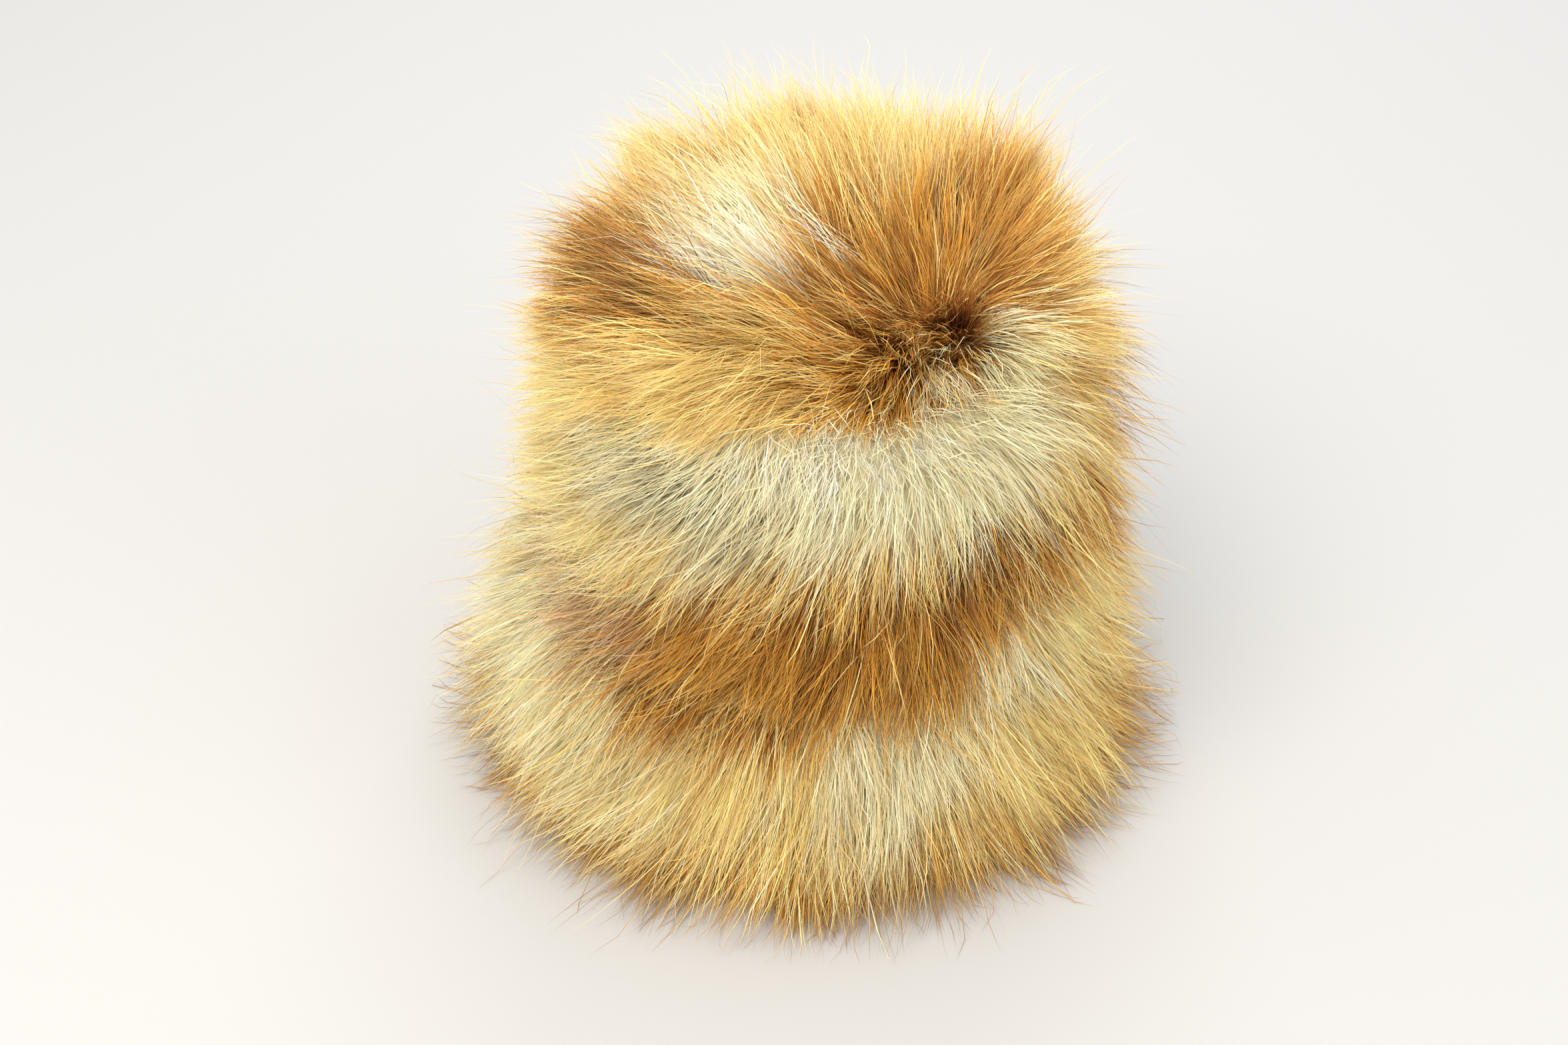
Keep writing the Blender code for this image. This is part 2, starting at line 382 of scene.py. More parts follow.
class TipField(FurField):
    """Fur of the round tip. u and v are shares of the way to the seam, along X and Y."""

    node = "tip_fur"
    slot = "tip_fox_fur"
    area = 0.060
    whorl = (0.43, -0.32)
    whorl_rise = 26
    """Degrees that the hair's tips stand off the tip round the whorl."""
    plume = Spot(28, -16, 40, 34)
    """Long tousled hair in slick wisps, beside the whorl."""
    pale_wool = Spot(-28, -14, 20, 26)
    """Short pale wool, lying flat."""
    depths = (
        Depth(0.00, 0.42),
        Depth(0.16, 0.55),
        Depth(0.36, 0.82),
        Depth(0.58, 0.94),
        Depth(0.79, 0.88),
        Depth(1.00, 0.80),
    )
    combs = (
        Comb(-180, 12, 10, 0.024),
        Comb(-150, 12, 13, 0.029),
        Comb(-115, 10, 12, 0.028),
        Comb(-85, 6, 14, 0.021),
        Comb(-60, 0, 22, 0.017),
        Comb(-30, -6, 26, 0.023),
        Comb(0, -6, 24, 0.029),
        Comb(45, 0, 16, 0.030),
        Comb(100, 6, 10, 0.026),
        Comb(135, 9, 4, 0.021),
        Comb(160, 12, 6, 0.021),
    )
    chart = Chart(
        base=((Fox.GOLD, 0.80), (Fox.STRAW, 0.50), (Fox.TAN, 0.10), (Fox.ORANGE, 0.10), (Fox.CREAM, 0.10)),
        patches=(
            Patch(Fox.BROWN, 36, -50, 38, 42, 10.0),
            Patch(Fox.BROWN, 30, -10, 34, 28, 11.0),
            Patch(Fox.DARK, 48, -46, 24, 20, 8.0),
            Patch(Fox.DARK, 16, -42, 18, 11, 4.5),
            # Dark hair in the plume: painted shade where its wisps part, over the plume's own dark brown.
            Patch(Fox.DARK, 24, -12, 26, 14, 5.0),
            Patch(Fox.DARK, 36, -74, 15, 9, 4.0),
            Patch(Fox.GOLD, 30, -40, 40, 44, 2.8),
            Patch(Fox.ORANGE, 84, 2, 24, 46, 8.0),
            Patch(Fox.BROWN, 58, 4, 24, 22, 4.0),
            Patch(Fox.BROWN, 20, -84, 24, 12, 6.0),
            Patch(Fox.BROWN, 2, -58, 18, 8, 8.0),
            Patch(Fox.BROWN, -22, -58, 20, 7, 8.0),
            Patch(Fox.BROWN, -46, -53, 16, 7, 8.0),
            Patch(Fox.BROWN, -62, -45, 12, 8, 9.0),
            Patch(Fox.DARK, -56, -44, 20, 6, 6.0),
            Patch(Fox.DARK, -70, -32, 15, 14, 34.0),
            Patch(Fox.DARK, -80, -12, 15, 18, 40.0),
            Patch(Fox.DARK, -84, 8, 11, 16, 16.0),
            Patch(Fox.BROWN, -76, -22, 16, 20, 8.0),
            Patch(Fox.BROWN, -86, 10, 14, 20, 16.0),
            Patch(Fox.BROWN, -68, 8, 8, 24, 3.0),
            Patch(Fox.WHITE, -28, -20, 19, 21, 14.0),
            Patch(Fox.CREAM, -28, 8, 20, 28, 9.0),
            Patch(Fox.GOLD, -56, 0, 10, 26, 3.0),
            Patch(Fox.GOLD, -34, -82, 44, 18, 7.0),
            Patch(Fox.STRAW, -44, -72, 16, 8, 6.0),
            Patch(Fox.CREAM, 62, -88, 20, 13, 14.0),
            Patch(Fox.CREAM, 84, -68, 13, 15, 12.0),
            Patch(Fox.CREAM, 96, -46, 9, 18, 6.0),
            Patch(Fox.TAN, 10, 78, 90, 26, 0.6),
            Patch(Fox.GOLD, 10, 78, 90, 26, 1.6),
        ),
        bearings=False,
    )

    def __init__(self, skin: Skin) -> None:
        super().__init__(skin)
        self.underfur = skin.crown_underfur
        self.flat_share = skin.tip_radius / (skin.tip_radius + skin.shoulder_run)

    def point(self, u, v, lift) -> np.ndarray:
        """Points at this lift over the tip, or over the upper half of the shoulder near the seam."""
        reach = np.hypot(u, v)
        angle = np.arctan2(v, u)
        radius = self.skin.tip_radius * reach / self.flat_share
        flat = self.skin.leaned(radius, angle, self.skin.height + lift)
        turn = math.pi / 4 * (reach - self.flat_share) / (1 - self.flat_share)
        bent = self.skin.shoulder(np.maximum(turn, 0), angle, lift)
        return np.where((reach < self.flat_share)[..., None], flat, bent)

    def from_whorl(self, u, v) -> np.ndarray:
        """Distance from the whorl, as a share of the way to the seam."""
        return np.hypot(u - self.whorl[0], v - self.whorl[1])

    def downstream(self, u, v) -> tuple[np.ndarray, np.ndarray]:
        """The hair runs away from the whorl."""
        away = np.maximum(self.from_whorl(u, v), 1e-6)
        return (u - self.whorl[0]) / away, (v - self.whorl[1]) / away

    def scatter(self, count: int, chance) -> tuple[np.ndarray, np.ndarray]:
        """Picks places spread evenly over the disc."""
        reach = np.sqrt(chance.uniform(0, 1, count))
        angle = chance.uniform(-math.pi, math.pi, count)
        return reach * np.cos(angle), reach * np.sin(angle)

    def ring_share(self, u, v) -> np.ndarray:
        """Share, from whorl to seam, of the ring through each place, the rings sliding out from the whorl."""
        across, along = u - self.whorl[0], v - self.whorl[1]
        outward = self.whorl[0] * across + self.whorl[1] * along
        away = across**2 + along**2
        spare = 1 - self.whorl[0] ** 2 - self.whorl[1] ** 2
        return away / np.maximum(np.sqrt(outward**2 + away * spare) - outward, 1e-9)

    def depth(self, u, v) -> np.ndarray:
        """Shallow at the whorl, where the hair parts, and deepest at the far rim."""
        share = self.ring_share(u, v)
        far = np.maximum(v - self.whorl[1] * (1 - share), 0)
        return self.underfur_at(share) * (1 + self.skin.back_fullness * far)

    def combing(self, u, v, points: np.ndarray) -> Lie:
        """Upright and tousled at the whorl, from which it radiates, and flatter out towards the rim."""
        bearing = np.degrees(np.arctan2(v, u))
        away = self.from_whorl(u, v)
        far = smooth_step(away, 0.12, 0.95)
        near = 1 - smooth_step(away, 0.04, 0.40)
        turn = around(bearing, self.combs, "turn") * far + 11 * Ripples(0.045, 3).at(points)
        across, along = self.place_on_chart(points)
        plume = self.plume.share(across, along)
        pale = self.pale_wool.share(across, along)
        turn = turn + (7 + 16 * near + 18 * plume) * Ripples(0.014, 4).at(points)
        rise = self.whorl_rise + (around(bearing, self.combs, "rise") - self.whorl_rise) * far
        rise = rise + (6 + 11 * plume) * Ripples(0.022, 5).at(points) + 6 * plume - 14 * pale
        edge = around(bearing, self.combs, "length")
        room = np.maximum(1 - np.hypot(u, v), 0) * 0.098
        length = np.minimum(edge + 0.9 * room, 0.022 + 0.022 * smooth_step(away, 0.0, 0.5))
        length = length * (1 + 0.10 * Ripples(0.022, 6).at(points))
        wool = 0.8 * pale - 0.7 * plume
        root_rise = rise * 0.4 + 46 + 16 * near
        return Lie(np.radians(turn), np.radians(root_rise), np.radians(rise), length, wool)

    def place_on_chart(self, points: np.ndarray) -> tuple[np.ndarray, np.ndarray]:
        """Millimetres along X and Y, seen from above."""
        return points[:, 0] * 1000, points[:, 1] * 1000

    def profile(self, steps: int) -> list[Callable[[np.ndarray], tuple[np.ndarray, np.ndarray]]]:
        """Rings that slide from the whorl out to the seam."""

        def ring(share: float) -> Callable[[np.ndarray], tuple[np.ndarray, np.ndarray]]:
            return lambda angle: (
                self.whorl[0] * (1 - share) + share * np.cos(angle),
                self.whorl[1] * (1 - share) + share * np.sin(angle),
            )

        return [ring(step / steps) for step in range(steps + 1)]


class SideField(FurField):
    """Fur of the side panel. u is the bearing in radians, v the share of the way from seam to cuff."""

    node = "side_fur"
    slot = "side_fox_fur"
    area = 0.085
    pale_wool = Spot(-74, 205, 30, 24)
    """Loose pale wool under the seam, towards the viewer."""
    depths = (
        Depth(0.00, 0.80),
        Depth(0.18, 0.80),
        Depth(0.36, 0.85),
        Depth(0.53, 0.94),
        Depth(0.70, 1.00),
        Depth(0.86, 0.96),
        Depth(1.00, 0.86),
    )
    combs = (
        Comb(-180, 58, 20, 0.034),
        Comb(-150, 56, 20, 0.035),
        Comb(-120, 46, 20, 0.036),
        Comb(-95, 30, 22, 0.036),
        Comb(-70, 12, 24, 0.035),
        Comb(-40, -4, 28, 0.036),
        Comb(0, -8, 36, 0.041),
        Comb(60, 6, 22, 0.034),
        Comb(120, 30, 16, 0.033),
    )
    chart = Chart(
        base=((Fox.STRAW, 0.66), (Fox.GOLD, 0.34), (Fox.CREAM, 0.26), (Fox.ORANGE, 0.03)),
        patches=(
            Patch(Fox.CREAM, -78, 194, 36, 30, 10.0),
            Patch(Fox.WHITE, -84, 202, 26, 18, 10.0),
            Patch(Fox.CREAM, -46, 196, 18, 26, 5.0),
            Patch(Fox.CREAM, -124, 178, 24, 16, 5.0),
            # Smoky streaks under the pale wool: painted shade in the partings between wisps, over hair with
            # dark roots.
            Patch(Fox.SMOKY_AND_SHADE, -128, 178, 20, 16, 9.0),
            Patch(Fox.SMOKY_AND_SHADE, -112, 164, 13, 13, 7.0),
            Patch(Fox.SMOKY_AND_SHADE, -140, 160, 10, 8, 3.0),
            # Painted shadow along the seam, above the pale wool.
            Patch(Fox.SMOKY_AND_SHADE, -90, 211, 11, 6, 4.0),
            Patch(Fox.GOLD, -150, 214, 46, 11, 7.0),
            Patch(Fox.BROWN, 172, 214, 16, 14, 9.0),
            Patch(Fox.STRAW, -160, 152, 34, 30, 4.0),
            Patch(Fox.CREAM, -165, 120, 24, 24, 2.0),
            Patch(Fox.TAN, -164, 110, 12, 9, 4.0),
            Patch(Fox.TAN, -146, 104, 16, 12, 8.0),
            Patch(Fox.TAN, -131, 106, 14, 15, 4.0),
            Patch(Fox.BROWN, -119, 108, 15, 19, 4.5),
            Patch(Fox.BROWN, -104, 112, 16, 25, 6.0),
            Patch(Fox.BROWN, -88, 112, 16, 28, 7.0),
            Patch(Fox.BROWN, -72, 112, 14, 32, 7.0),
            Patch(Fox.BROWN, -60, 120, 11, 27, 7.0),
            Patch(Fox.BROWN, -46, 126, 16, 15, 7.0),
            Patch(Fox.BROWN, -33, 122, 9, 9, 5.0),
            Patch(Fox.DARK, -60, 133, 12, 16, 6.0),
            Patch(Fox.DARK, -46, 125, 11, 11, 5.0),
            Patch(Fox.DARK, -96, 106, 28, 14, 1.4),
            Patch(Fox.ORANGE, -92, 126, 34, 18, 3.0),
            Patch(Fox.GOLD, -90, 147, 36, 10, 4.0),
            Patch(Fox.CREAM, -49, 90, 11, 12, 9.0),
            Patch(Fox.STRAW, -31, 94, 12, 14, 6.0),
            Patch(Fox.GOLD, -14, 186, 20, 52, 8.0),
            Patch(Fox.ORANGE, -4, 160, 22, 56, 5.0),
            Patch(Fox.ORANGE, -18, 122, 13, 18, 4.0),
            Patch(Fox.BROWN, -2, 114, 16, 15, 2.4),
            Patch(Fox.ORANGE, 20, 120, 22, 22, 4.0),
            Patch(Fox.BROWN, 44, 132, 20, 15, 3.0),
            Patch(Fox.ORANGE, 68, 138, 22, 24, 3.6),
            Patch(Fox.BROWN, 94, 128, 18, 12, 2.2),
            Patch(Fox.ORANGE, 118, 116, 26, 20, 3.0),
            Patch(Fox.TAN, 150, 110, 22, 14, 2.6),
            Patch(Fox.BROWN, 174, 104, 14, 10, 2.0),
            Patch(Fox.CREAM, 34, 196, 26, 16, 2.4),
            Patch(Fox.STRAW, 80, 204, 34, 24, 2.4),
            Patch(Fox.GOLD, 116, 196, 36, 26, 3.0),
            Patch(Fox.CREAM, 146, 166, 30, 20, 2.0),
        ),
        bearings=True,
    )

    def __init__(self, skin: Skin) -> None:
        super().__init__(skin)
        self.underfur = skin.crown_underfur
        way_down = skin.shoulder_z - skin.cuff_height
        self.bent_share = skin.shoulder_run / (skin.shoulder_run + way_down)

    def point(self, u, v, lift) -> np.ndarray:
        """Points at this lift over the lower half of the shoulder, then down the side."""
        bent = self.skin.shoulder(math.pi / 4 * (1 + np.minimum(v / self.bent_share, 1)), u, lift)
        down = np.maximum(v - self.bent_share, 0) / (1 - self.bent_share)
        height = self.skin.shoulder_z + (self.skin.cuff_top(u) - self.skin.shoulder_z) * down
        return np.where((v < self.bent_share)[..., None], bent, self.skin.side(height, u, lift))

    def downstream(self, u, v) -> tuple[np.ndarray, np.ndarray]:
        """The hair runs down."""
        return np.zeros_like(u), np.ones_like(v)

    def scatter(self, count: int, chance) -> tuple[np.ndarray, np.ndarray]:
        """Picks places spread evenly round the side."""
        return chance.uniform(-math.pi, math.pi, count), chance.uniform(0, 1, count)

    def depth(self, u, v) -> np.ndarray:
        """Deeper under the far rim, and slumped towards +X at the foot."""
        back = self.skin.back_fullness * np.maximum(1 - v / self.skin.back_reach, 0)
        back = back * np.maximum(np.sin(u), 0)
        return self.underfur_at(v) * (1 + back + self.skin.foot_slump * v * np.cos(u))

    def combing(self, u, v, points: np.ndarray) -> Lie:
        """Fluffy under the seam, then swept down and to the left, more so on the left."""
        bearing = np.degrees(u)
        settled = smooth_step(v, 0.05, 0.5)
        turn = around(bearing, self.combs, "turn") * (0.75 + 0.25 * settled)
        turn = turn + 10 * Ripples(0.05, 13).at(points) + 9 * Ripples(0.015, 14).at(points)
        rise = around(bearing, self.combs, "rise") + 9 * (1 - settled) + 7 * Ripples(0.025, 15).at(points)
        foot = smooth_step(v, 0.45, 1.0)
        rise = rise + 10 * foot * np.maximum(np.cos(u), 0) - 12 * foot * np.maximum(-np.cos(u), 0)
        length = around(bearing, self.combs, "length") * (0.86 + 0.14 * settled)
        length = length * (1 + 0.12 * Ripples(0.02, 16).at(points))
        across, along = self.place_on_chart(points)
        wool = self.pale_wool.share(across, along)
        return Lie(np.radians(turn), np.radians(rise * 0.4 + 44), np.radians(rise), length, wool)

    def place_on_chart(self, points: np.ndarray) -> tuple[np.ndarray, np.ndarray]:
        """Bearing in degrees, and height in millimetres."""
        x = points[:, 0] - self.skin.lean * points[:, 2]
        return np.degrees(np.arctan2(points[:, 1], x)), points[:, 2] * 1000

    def profile(self, steps: int) -> list[Callable[[np.ndarray], tuple[np.ndarray, np.ndarray]]]:
        """Rings from the seam down to the cuff."""
        return [lambda angle, v=step / steps: (angle, np.full_like(angle, v)) for step in range(steps + 1)]


class CuffField(SideField):
    """Fur of the cuff. u is the bearing in radians, v the share of the way from folded edge to floor."""

    node = "cuff_fur"
    slot = "cuff_fox_fur"
    depths = (
        Depth(0.00, 0.70),
        Depth(0.26, 0.90),
        Depth(0.52, 1.00),
        Depth(0.77, 0.92),
        Depth(1.00, 0.72),
    )
    combs = (
        Comb(-180, 26, 30, 0.040),
        Comb(-150, 24, 32, 0.042),
        Comb(-120, 22, 30, 0.044),
        Comb(-90, 14, 28, 0.044),
        Comb(-60, 4, 28, 0.044),
        Comb(-30, -8, 28, 0.043),
        Comb(0, -12, 28, 0.040),
        Comb(60, 0, 30, 0.042),
        Comb(120, 16, 32, 0.042),
    )
    chart = Chart(
        base=((Fox.CREAM, 0.50), (Fox.STRAW, 0.80), (Fox.GOLD, 0.34)),
        patches=(
            Patch(Fox.TAN, -146, 90, 15, 8, 4.0),
            Patch(Fox.BROWN, -120, 88, 18, 9, 5.0),
            Patch(Fox.ORANGE, -112, 82, 24, 10, 3.0),
            Patch(Fox.BROWN, -99, 83, 12, 9, 6.0),
            Patch(Fox.CREAM, -165, 60, 28, 30, 4.0),
            Patch(Fox.CREAM, -73, 68, 14, 22, 6.0),
            # Smoky streak: painted shade in a parting between wisps, over hair with dark roots.
            Patch(Fox.SMOKY_AND_SHADE, -75, 36, 8, 14, 1.6),
            Patch(Fox.CREAM, -52, 78, 12, 12, 4.0),
            Patch(Fox.GOLD, -100, 50, 14, 24, 2.0),
            Patch(Fox.GOLD, -36, 50, 26, 36, 4.0),
            Patch(Fox.ORANGE, -14, 48, 14, 34, 3.0),
            Patch(Fox.TIPPED, -90, 4, 100, 17, 6.0),
            Patch(Fox.TIPPED, 90, 4, 100, 17, 6.0),
            Patch(Fox.ORANGE, -90, 0, 170, 8, 2.4),
            Patch(Fox.ORANGE, 90, 0, 170, 8, 2.4),
            Patch(Fox.GOLD, 60, 60, 60, 28, 2.4),
            Patch(Fox.ORANGE, 100, 58, 60, 24, 1.6),
        ),
        bearings=True,
    )

    def __init__(self, skin: Skin) -> None:
        super().__init__(skin)
        self.underfur = skin.cuff_underfur

    def point(self, u, v, lift) -> np.ndarray:
        """Points at this lift over the cuff's band."""
        return self.skin.side(self.skin.cuff_top(u) * (1 - v), u, self.skin.cuff_lift + lift)

    def scatter(self, count: int, chance) -> tuple[np.ndarray, np.ndarray]:
        """Picks places spread evenly round the cuff, thinning out at the hem."""
        return chance.uniform(-math.pi, math.pi, count), chance.uniform(0, 1, count) ** 1.15 * 0.96

    def depth(self, u, v) -> np.ndarray:
        """Shallow at the folded edge, full at the middle, and drawn in at the hem."""
        return self.underfur_at(v)

    def combing(self, u, v, points: np.ndarray) -> Lie:
        """Bristling at the folded edge, then swept down and out over the floor."""
        bearing = np.degrees(u)
        settled = smooth_step(v, 0.0, 0.5)
        turn = around(bearing, self.combs, "turn")
        turn = turn + 12 * Ripples(0.05, 23).at(points) + 10 * Ripples(0.015, 24).at(points)
        rise = around(bearing, self.combs, "rise") + 16 * (1 - settled) + 7 * Ripples(0.025, 25).at(points)
        rise = rise - 8 * smooth_step(v, 0.5, 1.0)
        shorter = 0.36 * smooth_step(v, 0.3, 0.9)
        length = around(bearing, self.combs, "length") * (0.84 + 0.16 * settled - shorter)
        length = length * (1 + 0.12 * Ripples(0.02, 26).at(points))
        wool = 0.35 * smooth_step(Ripples(0.05, 27).at(points), 0.0, 1.2)
        return Lie(np.radians(turn), np.radians(rise * 0.4 + 44), np.radians(rise), length, wool)


class HemField(CuffField):
    """Where the cuff's longest hairs grow, which hang over its hem and splay on the floor."""

    def scatter(self, count: int, chance) -> tuple[np.ndarray, np.ndarray]:
        """Picks places on the lower half of the cuff."""
        return chance.uniform(-math.pi, math.pi, count), chance.uniform(0.38, 0.94, count)

    def combing(self, u, v, points: np.ndarray) -> Lie:
        """Out over the fur under it, then down, fanning to both sides."""
        lie = super().combing(u, v, points)
        turn = lie.turn + np.radians(16) * Ripples(0.03, 31).at(points)
        tip_rise = np.radians(36 + 14 * Ripples(0.02, 32).at(points))
        length = 0.060 - 0.014 * smooth_step(v, 0.4, 0.94)
        return Lie(turn, np.full_like(turn, math.radians(56)), tip_rise, length, np.zeros_like(turn))


def add_node(tree: bpy.types.NodeTree, kind: str, settings: dict | None = None, links: dict | None = None):
    """Adds a shader node.

    Args:
        tree: The node tree.
        kind: The node's type, such as ShaderNodeTexNoise.
        settings: Values by input name or number, or by the node's own property.
        links: Output sockets by input name or number.

    Returns:
        The new node.
    """
    node = tree.nodes.new(kind)
    for name, value in (settings or {}).items():
        if isinstance(name, str) and hasattr(node, name):
            setattr(node, name, value)
        else:
            node.inputs[name].default_value = value
    for name, socket in (links or {}).items():
        tree.links.new(socket, node.inputs[name])
    return node


def new_material(name: str) -> tuple[bpy.types.Material, bpy.types.NodeTree]:
    """Makes an empty node material."""
    material = bpy.data.materials.new(name)
    material.use_nodes = True
    material.node_tree.nodes.clear()
    return material, material.node_tree


@dataclass(frozen=True)
class FurFinish:
    """Fox hair: the colour painted on the strands, varied a little along them, with a soft gloss."""

    roughness: float = 0.52
    gloss: float = 0.32
    sheen: float = 0.03
    mottle: float = 0.10
    mottles_per_metre: float = 240.0

    def material(self, name: str) -> bpy.types.Material:
        """Builds the hair's material."""
        material, tree = new_material(name)
        colour = add_node(tree, "ShaderNodeAttribute", {"attribute_name": FUR_COLOUR})
        place = add_node(tree, "ShaderNodeTexCoord")
        noise = add_node(
            tree,
            "ShaderNodeTexNoise",
            {"Scale": self.mottles_per_metre, "Detail": 2.0},
            {"Vector": place.outputs["Object"]},
        )
        gain = add_node(
            tree,
            "ShaderNodeMapRange",
            {"To Min": 1 - self.mottle, "To Max": 1 + self.mottle},
            {"Value": noise.outputs["Fac"]},
        )
        tinted = add_node(
            tree,
            "ShaderNodeMix",
            {"data_type": "RGBA", "blend_type": "MULTIPLY", 0: 1.0},
            {6: colour.outputs["Color"], 7: gain.outputs["Result"]},
        )
        shader = add_node(
            tree,
            "ShaderNodeBsdfPrincipled",
            {"Roughness": self.roughness, "Specular IOR Level": self.gloss, "Sheen Weight": self.sheen},
            {"Base Color": tinted.outputs[2]},
        )
        add_node(tree, "ShaderNodeOutputMaterial", links={"Surface": shader.outputs["BSDF"]})
        return material


@dataclass(frozen=True)
class LeatherFinish:
    """The flesh side of dressed pelts: a napped, pale tan leather with a fine grain and soft creases."""

    pale: str = "#cdb28c"
    dark: str = "#a4845c"
    grain_size: float = 0.0011
    crease_size: float = 0.022
    grain_depth: float = 0.00012

    def material(self, name: str) -> bpy.types.Material:
        """Builds the leather's material."""
        material, tree = new_material(name)
        place = add_node(tree, "ShaderNodeTexCoord")
        cloudy = add_node(
            tree,
            "ShaderNodeTexNoise",
            {"Scale": 1 / self.crease_size, "Detail": 4.0, "Roughness": 0.62},
            {"Vector": place.outputs["Object"]},
        )
        grain = add_node(
            tree,
            "ShaderNodeTexVoronoi",
            {"Scale": 1 / self.grain_size, "feature": "SMOOTH_F1"},
            {"Vector": place.outputs["Object"]},
        )
        mixed = add_node(
            tree,
            "ShaderNodeMix",
            {"data_type": "RGBA", 6: (*linear(self.dark), 1), 7: (*linear(self.pale), 1)},
            {0: cloudy.outputs["Fac"]},
        )
        relief = add_node(
            tree,
            "ShaderNodeBump",
            {"Strength": 0.6, "Distance": self.grain_depth},
            {"Height": grain.outputs["Distance"]},
        )
        shader = add_node(
            tree,
            "ShaderNodeBsdfPrincipled",
            {"Roughness": 0.88, "Sheen Weight": 0.2},
            {"Base Color": mixed.outputs[2], "Normal": relief.outputs["Normal"]},
        )
        add_node(tree, "ShaderNodeOutputMaterial", links={"Surface": shader.outputs["BSDF"]})
        return material


@dataclass
class Strands:
    """Centre lines and dress of many hairs, ready to be meshed.

    line is hairs x points x 3, facing the outward direction of each hair, colour one of points x 3 per hair.
    """

    line: np.ndarray
    facing: np.ndarray
    half_width: np.ndarray
    twist: np.ndarray
    colour: np.ndarray
    softness: np.ndarray
    roundness: float = 0.75

    def mesh(self, name: str) -> bpy.types.Mesh:
        """Builds tapering strips of quads with a triangle at each tip."""
        hairs, points, _ = self.line.shape
        segments = points - 1
        along = unit(np.gradient(self.line, axis=1))
        out = np.broadcast_to(self.facing[:, None], along.shape)
        across = unit(np.cross(along, out))
        lifted = np.cross(across, along)
        turn = self.twist[:, None, None]
        side = across * np.cos(turn) + lifted * np.sin(turn)
        face = unit(np.cross(side, along))
        face = face * np.where((face * out).sum(axis=-1, keepdims=True) < 0, -1, 1)
        offset = side * self.half_width[..., None]
        rows = np.stack([self.line - offset, self.line + offset], axis=2)[:, :segments]
        places = np.concatenate([rows.reshape(hairs, segments * 2, 3), self.line[:, -1:]], axis=1)
        bent = np.stack([face - side * self.roundness, face + side * self.roundness], axis=2)[:, :segments]
        bent = np.concatenate([bent.reshape(hairs, segments * 2, 3), face[:, -1:]], axis=1)
        soft = unit(bent + self.softness[:, None, None] * out[:, :1])
        tints = np.concatenate([np.repeat(self.colour[:, :segments], 2, axis=1), self.colour[:, -1:]], axis=1)
        return self.strips(name, places, soft, tints, segments)

    def strips(self, name: str, places, normals, tints, segments: int) -> bpy.types.Mesh:
        """Fills a mesh from the vertices of each strip."""
        hairs, per_hair, _ = places.shape
        start = np.arange(hairs)[:, None] * per_hair
        quads = [np.array([2 * k, 2 * k + 1, 2 * k + 3, 2 * k + 2]) for k in range(segments - 1)]
        corners = np.concatenate([*quads, np.array([2 * segments - 2, 2 * segments - 1, 2 * segments])])
        loops = (start + corners).ravel()
        sizes = np.tile([4] * (segments - 1) + [3], hairs)
        starts = np.concatenate([[0], np.cumsum(sizes)[:-1]])
        mesh = bpy.data.meshes.new(name)
        mesh.vertices.add(hairs * per_hair)
        mesh.vertices.foreach_set("co", places.ravel())
        mesh.loops.add(len(loops))
        mesh.loops.foreach_set("vertex_index", loops)
        mesh.polygons.add(len(sizes))
        mesh.polygons.foreach_set("loop_start", starts)
        mesh.polygons.foreach_set("use_smooth", np.ones(len(sizes), bool))
        mesh.update()
        self.paint(mesh, tints)
        self.lay_out(mesh, hairs, per_hair, segments, loops)
        mesh.normals_split_custom_set_from_vertices(normals.reshape(-1, 3))
        return mesh

    def paint(self, mesh: bpy.types.Mesh, tints: np.ndarray) -> None:
        """Writes the strands' colours to the mesh."""
        layer = mesh.color_attributes.new(FUR_COLOUR, "FLOAT_COLOR", "POINT")
        tints = tints.reshape(-1, 3)
        layer.data.foreach_set("color", np.concatenate([tints, np.ones((len(tints), 1))], axis=1).ravel())

    def lay_out(self, mesh: bpy.types.Mesh, hairs: int, per_hair: int, segments: int, loops) -> None:
        """Gives each hair its own cell of the bake map, root at the bottom."""
        columns = math.ceil(math.sqrt(hairs * 2.2))
        rows = math.ceil(hairs / columns)
        margin = 0.16
        height = np.append(np.repeat(np.arange(segments), 2), segments) / segments
        width = np.append(np.tile([0.0, 1.0], segments), 0.5)
        index = np.arange(hairs)[:, None]
        u = (index % columns + margin + width * (1 - 2 * margin)) / columns
        v = (index // columns + margin + height * (1 - 2 * margin)) / rows
        cells = np.stack([u, v], axis=-1).reshape(-1, 2)
        mesh.uv_layers.new(name=BAKE_MAP).data.foreach_set("uv", cells[loops].ravel())


class Growth(NamedTuple):
    """Hairs as they grow, before wisps draw them together."""

    root: np.ndarray
    out: np.ndarray
    path: np.ndarray
    """Points of each hair from its root, at unit length."""
    length: np.ndarray
    wool: np.ndarray


class Wisps(NamedTuple):
    """Wisps into which hairs draw together towards their tips."""

    spacing: float
    """How far apart they stand."""
    pull: float
    """How hard they draw."""
    unevenness: float
    """How much longer or shorter one is than another."""


